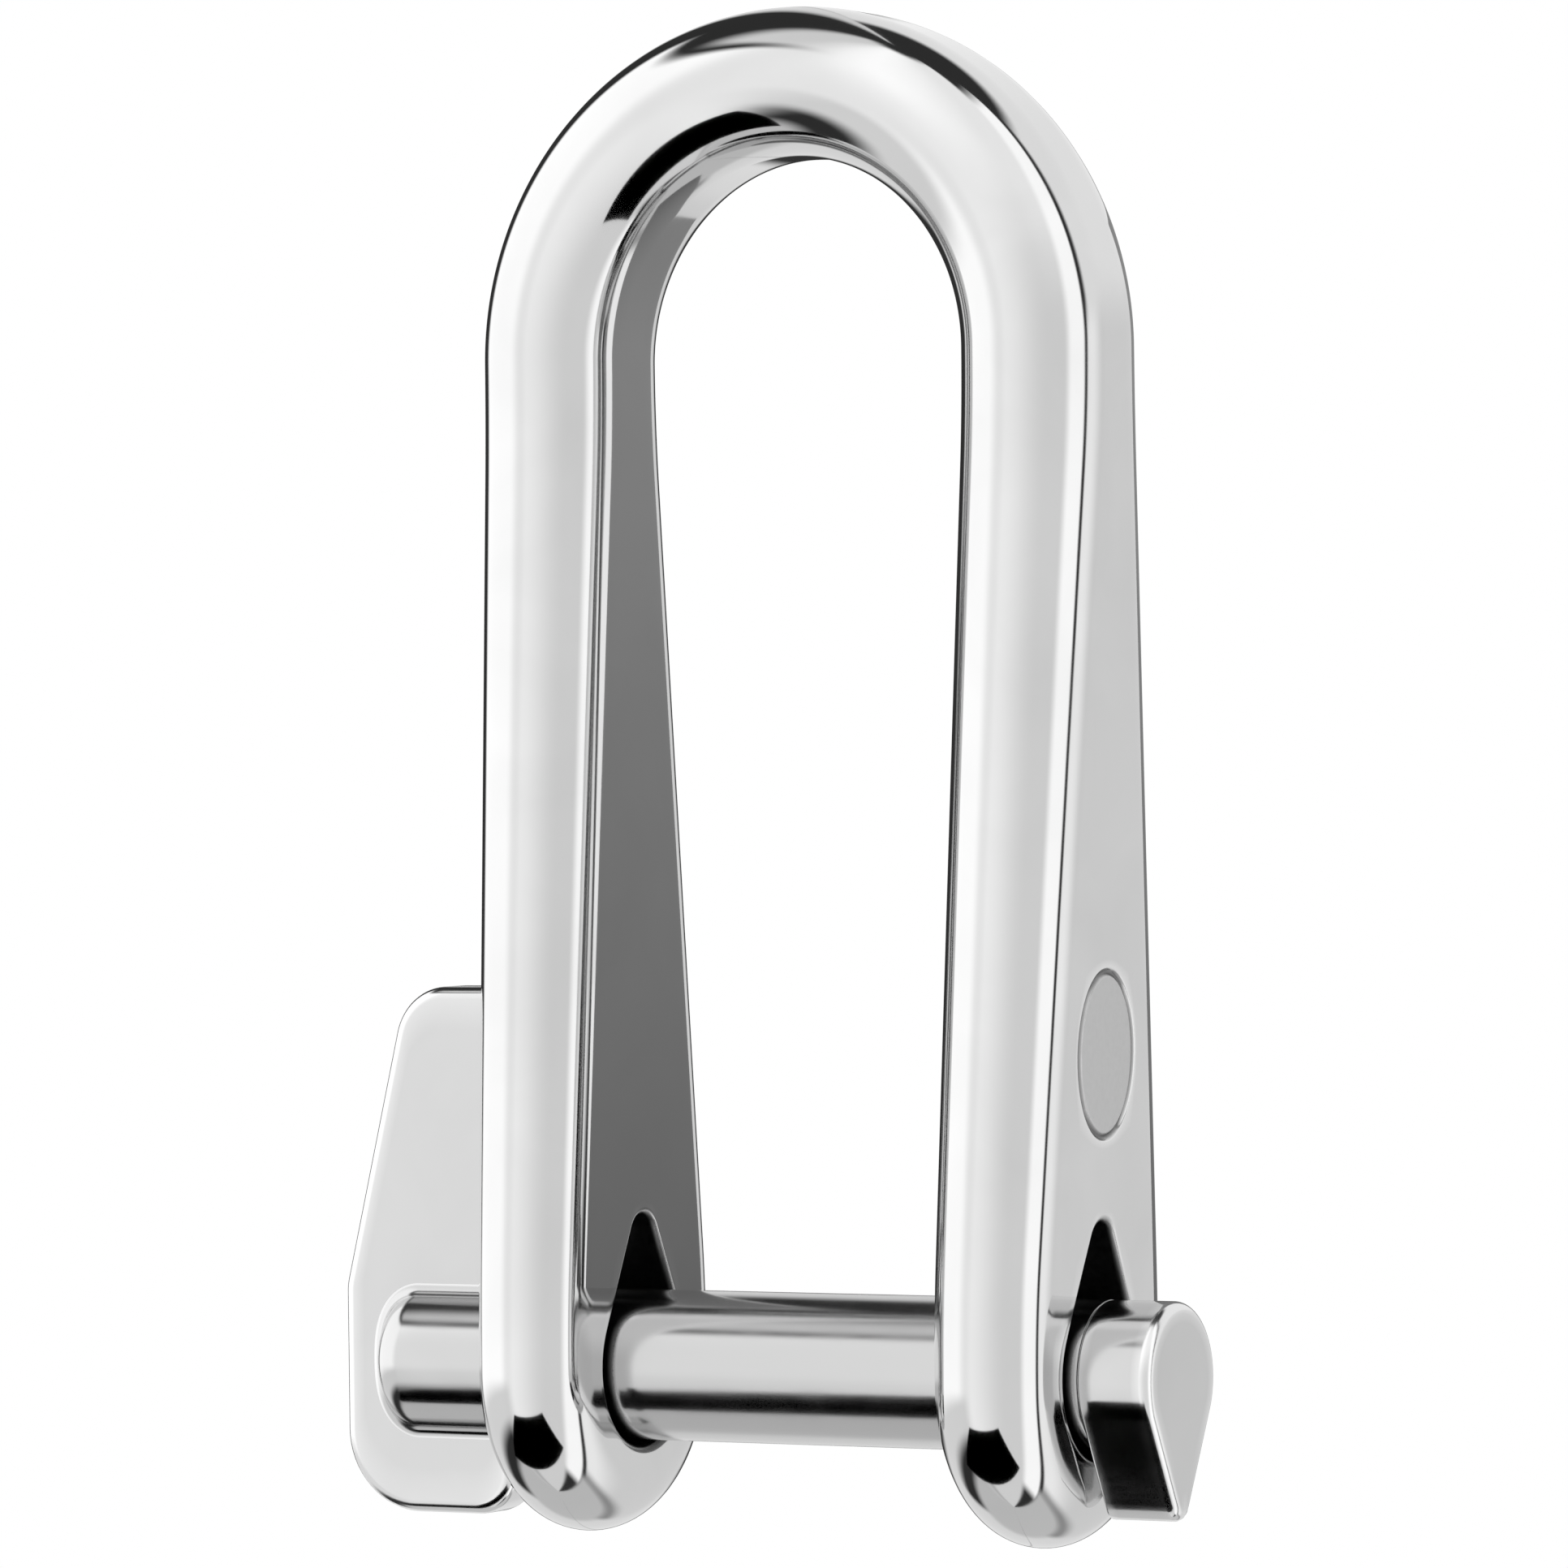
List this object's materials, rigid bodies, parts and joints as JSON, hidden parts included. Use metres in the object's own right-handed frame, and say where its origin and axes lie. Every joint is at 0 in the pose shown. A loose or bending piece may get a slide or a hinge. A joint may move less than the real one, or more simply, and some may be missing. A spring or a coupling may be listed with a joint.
{
  "type": "shackle",
  "caption": "Long forged stainless shackle with a half-round crown and flattened ears, closed by a captive key pin that is turned with a flat lever and passes through keyholes.",
  "frame": {"origin": "on the axis of the key pin, midway between the two ears", "axes": "+X along the pin towards its key lug, +Z from the pin up to the crown, +Y away from the face that is seen first, through the gap between the legs"},
  "size_m": [0.0373, 0.0134, 0.0604],
  "materials": {
    "mirror_steel": "mirror polished",
    "satin_steel": "fine satin polish"
  },
  "bodies": {
    "body": {"shackle_body": "mirror_steel"},
    "pin": {"key_pin": "satin_steel"}
  },
  "joints": [
    {"name": "pin_turn", "type": "hinge", "parent": "body", "child": "pin", "pos_m": [0, 0, 0], "axis": [1, 0, 0], "continuous": true}
  ]
}
